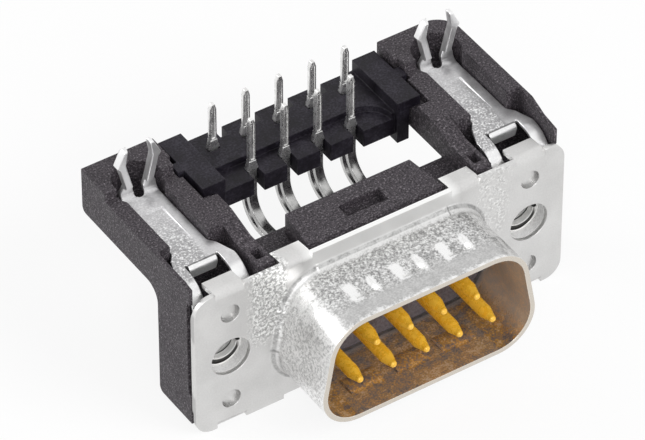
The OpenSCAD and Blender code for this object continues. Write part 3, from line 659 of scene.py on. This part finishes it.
def contact_metal():
    """Gold on the pin and bright tin on the tail, with the stem's tin painted darker as painted shade."""
    f = Finish("gold_pin_tin_tail")
    patch = f.noise(0.4, detail=3.0)
    _, y, z = f.axes(f.place)
    gold = f.ramp(patch, (0.3, (0.77, 0.4, 0.018)), (0.7, (0.84, 0.52, 0.055)))
    # Painted shade: the stem's tin is painted darker than the tail's
    stem = f.ramp(patch, (0.3, (0.4, 0.398, 0.394)), (0.7, (0.62, 0.617, 0.61)))
    tail = f.ramp(patch, (0.3, (0.7, 0.697, 0.69)), (0.7, (0.96, 0.957, 0.95)))
    upright = f.fade(z, UPRIGHT_Z)
    tinned = f.fade(y, TINNED_Y)
    metal = f.math("SUBTRACT", f.between(tinned, 0.2, 1.0), f.math("MULTIPLY", upright, 0.1))
    return f.set(Base_Color=f.mix(tinned, gold, f.mix(upright, stem, tail)), Metallic=metal,
                 Specular_IOR_Level=0.8, Roughness=f.varied(patch, 0.22, 0.34))


BRACKET = bracket_plastic()
DARK = dark_plastic()
PIN_BLOCK = pin_block_plastic()
SHELL = TinnedSheet().finished()
HOLE = hole_tin()
STRAP = strap_tin()
STEEL = insert_steel()
CONTACT = contact_metal()


# Pieces

def edged_copy(node, name, finish, slot, edge=FINE_EDGE, segments=2):
    """Copy of a CAD node with its edges broken, in its finish."""
    return finish_piece(break_edges(node_copy(node, name), edge, segments), finish, slot, node)


def at_boss(face):
    """True on the floor of a locating boss."""
    across = abs(face.center.x) - SCREW_X * MM
    above = abs(face.center.z) - BOSS_Z * MM
    return face.normal.y < -SQUARE and math.hypot(across, above) < BOSS_R * MM


def keeps_its_edge(place):
    """True on the tabs' sides and on the collar behind its rim."""
    on_tab_side = any(abs(abs(place.x) - side * MM) < TAB_SIDE_REACH * MM for side in TAB_SIDES)
    return on_tab_side or (RIM_Y + RIM_REACH) * MM < place.y < -FLANGE_REACH * MM


def close_steps(piece):
    """Merges the hair-thin steps that run along the collar, where its straight walls meet its corners."""
    mesh = piece.data
    select_faces(piece, lambda face: face.center.y < STEPS_START_Y * MM
                 and abs(face.center.x) > DENTS_END_X * MM and face_width(face, mesh) < HAIR * MM)
    bpy.ops.mesh.remove_doubles(threshold=HAIR * MM)
    leave_edit()


def deepen_bosses(piece):
    """Pushes the floor of each locating boss further in and leaves a ring round it."""
    select_faces(piece, at_boss)
    bpy.ops.transform.translate(value=(0, BOSS_PUSH * MM, 0))
    bpy.ops.mesh.inset(thickness=BOSS_RING * MM)
    bpy.ops.transform.translate(value=(0, -BOSS_RISE * MM, 0))
    leave_edit()


def front_shell():
    """The stamped flange with its drawn collar."""
    shell = node_copy("front_shell", "drawn_front_shell")
    close_steps(shell)
    deepen_bosses(shell)
    break_edges(shell, FINE_EDGE, left_sharp=keeps_its_edge)
    finish_piece(shell, SHELL, "shell_tin", "front_shell")


def hole_wall(side, name):
    """Wall of one screw hole, drawn back from the flange through the sheets behind it."""
    front, back = HOLE_WALL_Y
    clear_selection()
    bpy.ops.mesh.primitive_cylinder_add(
        vertices=HOLE_SIDES, radius=HOLE_R * MM, depth=(back - front) * MM, end_fill_type="NOTHING",
        location=(side * SCREW_X * MM, (front + back) / 2 * MM, 0), rotation=(math.pi / 2, 0, 0))
    piece = new_piece(name)
    apply_place(piece)
    apply_modifier(piece, "SOLIDIFY", thickness=HOLE_WALL * MM, offset=1.0)
    shade(piece)
    finish_piece(piece, HOLE, "shell_tin")


def thread_outline(piece):
    """Makes the plane the outline of one ridge: as high as the thread is deep, and narrower at its crest."""
    middle = (THREAD_R + THREAD_CREST_R) / 2
    height = THREAD_R - THREAD_CREST_R
    edit(piece)
    bpy.ops.mesh.select_all(action="SELECT")
    bpy.ops.transform.resize(value=(height / THREAD_R, THREAD_FOOT / THREAD_R, 1))
    bpy.ops.transform.translate(value=(middle * MM, 0, 0))
    bpy.ops.mesh.delete(type="ONLY_FACE")
    leave_edit()
    clear_mesh_selection(piece, "VERT")
    for vertex in piece.data.vertices:
        vertex.select = vertex.co.x < middle * MM
    edit(piece)
    bpy.ops.transform.resize(value=(1, THREAD_CREST_SHARE, 1))
    leave_edit()


def screw_thread(side, name):
    """Thread inside one insert: a ridge's outline is wound about the screw's axis."""
    clear_selection()
    bpy.ops.mesh.primitive_plane_add(size=THREAD_R * MM,
                                     location=(side * SCREW_X * MM, THREAD_START_Y * MM, 0))
    piece = new_piece(name)
    thread_outline(piece)
    apply_modifier(piece, "SCREW", axis="Y", angle=math.tau, screw_offset=THREAD_PITCH * MM,
                   iterations=THREAD_TURNS, steps=THREAD_STEPS, render_steps=THREAD_STEPS)
    edit(piece)
    bpy.ops.mesh.select_all(action="SELECT")
    bpy.ops.mesh.remove_doubles(threshold=THREAD_MERGE * MM)
    bpy.ops.mesh.fill_holes(sides=4)
    bpy.ops.mesh.select_all(action="SELECT")
    bpy.ops.mesh.normals_make_consistent(inside=False)
    leave_edit()
    apply_place(piece)
    shade(piece)
    finish_piece(piece, STEEL, "insert_steel")


def on_tail_side(face):
    """True on the broad front and back of the upright tail."""
    return (face.center.z > FOOT_TOP_Z * MM and abs(face.normal.y) > SQUARE
            and face.area > GROOVED_AREA * MM * MM)


def tail_groove(piece):
    """Presses the groove of the folded tail into the front and the back of the tail."""
    select_faces(piece, on_tail_side)
    bpy.ops.mesh.inset(thickness=GROOVE_BORDER * MM)
    bpy.ops.mesh.inset(thickness=0, depth=-GROOVE_DEPTH * MM)
    leave_edit()


def contact(number):
    """One pin with its stem and its grooved tail."""
    node = "contact_%d" % number
    piece = node_copy(node, "pin_and_tail_%d" % number)
    tail_groove(piece)
    finish_piece(break_edges(piece, FINE_EDGE), CONTACT, "contact_gold", node)


front_shell()
edged_copy("rear_plate", "rear_plate_sheet", SHELL, "shell_tin")
edged_copy("front_insulator", "pin_block", PIN_BLOCK, "dark_plastic")
edged_copy("rear_insulator", "rear_pin_block", PIN_BLOCK, "dark_plastic")
edged_copy("bracket", "moulded_bracket", BRACKET, "bracket_plastic", MOULDED_EDGE)
edged_copy("pin_organiser", "tail_comb", DARK, "dark_plastic")
for side, word in SIDES:
    edged_copy("board_lock_" + word, "forked_strap_" + word, STRAP, "strap_tin", ROUNDED_EDGE, segments=3)
    edged_copy("threaded_insert_" + word, "screw_insert_" + word, STEEL, "insert_steel", ROUNDED_EDGE)
    screw_thread(side, "screw_thread_" + word)
    hole_wall(side, "drawn_hole_wall_" + word)
for number in range(1, CONTACT_COUNT + 1):
    contact(number)


# Floor, light and camera

def seen_directly(tree):
    """1 for rays that show the background: to the camera, in reflections and through glass."""
    path = tree.nodes.new("ShaderNodeLightPath")
    share = path.outputs["Is Camera Ray"]
    for kind in ("Is Glossy Ray", "Is Transmission Ray"):
        node = tree.nodes.new("ShaderNodeMath")
        node.operation = "MAXIMUM"
        tree.links.new(share, node.inputs[0])
        tree.links.new(path.outputs[kind], node.inputs[1])
        share = node.outputs[0]
    return share


def lay_floor():
    clear_selection()
    bpy.ops.mesh.primitive_plane_add(size=FLOOR_SIZE, location=(0, 0, cad_low.z - FLOOR_GAP * MM))
    floor = new_piece("pale_floor")
    f = Finish("white_paper")
    f.set(Base_Color=PAPER_WHITE, Roughness=0.9)
    glow = f.tree.nodes.new("ShaderNodeEmission")
    blend = f.tree.nodes.new("ShaderNodeMixShader")
    f.join(f.math("MULTIPLY", seen_directly(f.tree), FLOOR_GLOW), blend.inputs["Fac"])
    f.join(f.shader.outputs["BSDF"], blend.inputs[1])
    f.join(glow.outputs["Emission"], blend.inputs[2])
    f.join(blend.outputs["Shader"], f.output.inputs["Surface"])
    floor.data.materials.append(f.material)


def light_world():
    """White surroundings that light the object softly and are seen at full white."""
    world = bpy.context.scene.world or bpy.data.worlds.new("studio")
    bpy.context.scene.world = world
    world.use_nodes = True
    tree = world.node_tree
    tree.nodes.clear()
    out = tree.nodes.new("ShaderNodeOutputWorld")
    back = tree.nodes.new("ShaderNodeBackground")
    level = tree.nodes.new("ShaderNodeMapRange")
    level.inputs["To Min"].default_value = WORLD_LIGHT
    level.inputs["To Max"].default_value = WORLD_SHOWN
    back.inputs["Color"].default_value = (1, 1, 1, 1)
    tree.links.new(seen_directly(tree), level.inputs["Value"])
    tree.links.new(level.outputs["Result"], back.inputs["Strength"])
    tree.links.new(back.outputs["Background"], out.inputs["Surface"])


def hang_softboxes():
    """Square lamps that look at the object."""
    for name, spot, size, power, mirrored in SOFTBOXES:
        lamp = bpy.data.lights.new(name, "AREA")
        lamp.size = size
        lamp.energy = power
        holder = bpy.data.objects.new(name, lamp)
        bpy.context.scene.collection.objects.link(holder)
        holder.location = spot
        holder.rotation_euler = (-Vector(spot)).to_track_quat("-Z", "Y").to_euler()
        holder.visible_glossy = mirrored


def aim_camera():
    """Looks past the flange's centre, which lies off the middle of the photograph's frame."""
    azimuth, elevation = math.radians(AZIMUTH), math.radians(ELEVATION)
    back = Vector((math.sin(azimuth) * math.cos(elevation), -math.cos(azimuth) * math.cos(elevation),
                   math.sin(elevation)))
    turn = (-back).to_track_quat("-Z", "Y")
    right, up = turn @ Vector((1, 0, 0)), turn @ Vector((0, 1, 0))
    line = -back * FOCAL_PX - right * RIGHT_OF_MIDDLE_PX + up * BELOW_MIDDLE_PX
    view = bpy.data.cameras.new("photo_camera")
    view.sensor_width = SENSOR_WIDTH
    view.lens = FOCAL_PX * SENSOR_WIDTH / FRAME_WIDTH_PX
    view.clip_start = CLIP_START * MM
    holder = bpy.data.objects.new("photo_camera", view)
    bpy.context.scene.collection.objects.link(holder)
    holder.location = back * CAMERA_AWAY * MM
    holder.rotation_euler = line.to_track_quat("-Z", "Y").to_euler()
    bpy.context.scene.camera = holder


lay_floor()
light_world()
hang_softboxes()
aim_camera()
bpy.context.scene.view_settings.view_transform = "Standard"
